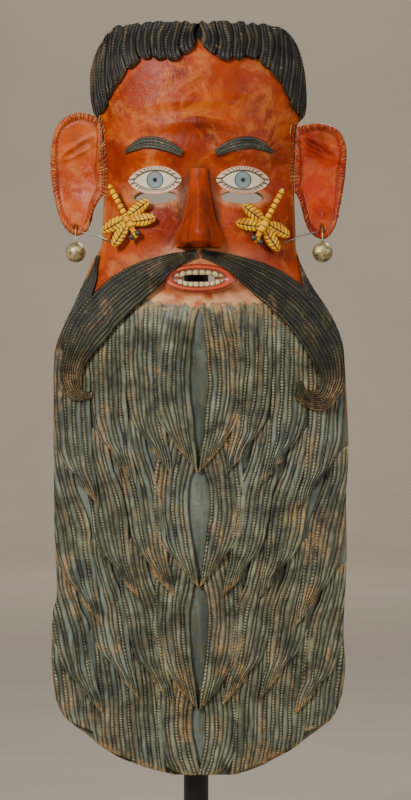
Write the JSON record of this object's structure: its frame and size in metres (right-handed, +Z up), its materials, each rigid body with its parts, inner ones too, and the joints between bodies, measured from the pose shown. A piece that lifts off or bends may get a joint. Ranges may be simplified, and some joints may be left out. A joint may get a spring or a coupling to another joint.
{
  "type": "tooled leather face mask on a display post",
  "caption": "Dance mask of moulded and painted leather: a bearded man's face with sewn ears and nose, a dragonfly on each cheek and ball earrings, held upright by a rod with a plate foot.",
  "frame": {"origin": "middle of the foot's underside", "axes": "+Z up along the post, the mask looks along -Y, +X to the right as seen from the front"},
  "size_m": [0.2408, 0.1503, 0.7055],
  "materials": {
    "dark_hide": "tooled, painted dark olive grey, worn tan on its edges",
    "red_hide": "moulded, painted orange red, rubbed",
    "yellow_paint": "yellow enamel with black lines",
    "grey_wire": "dull",
    "dull_silver": "tarnished",
    "black_steel": "matt black paint"
  },
  "bodies": {
    "root": {"face_and_beard": "dark_hide", "nose": "red_hide", "ear_left": "red_hide", "ear_right": "red_hide", "dragonfly_left": "yellow_paint", "dragonfly_right": "yellow_paint", "wire_left": "grey_wire", "wire_right": "grey_wire", "earring_left": "dull_silver", "earring_right": "dull_silver", "stand_rod": "black_steel", "stand_foot": "black_steel"}
  },
  "joints": []
}
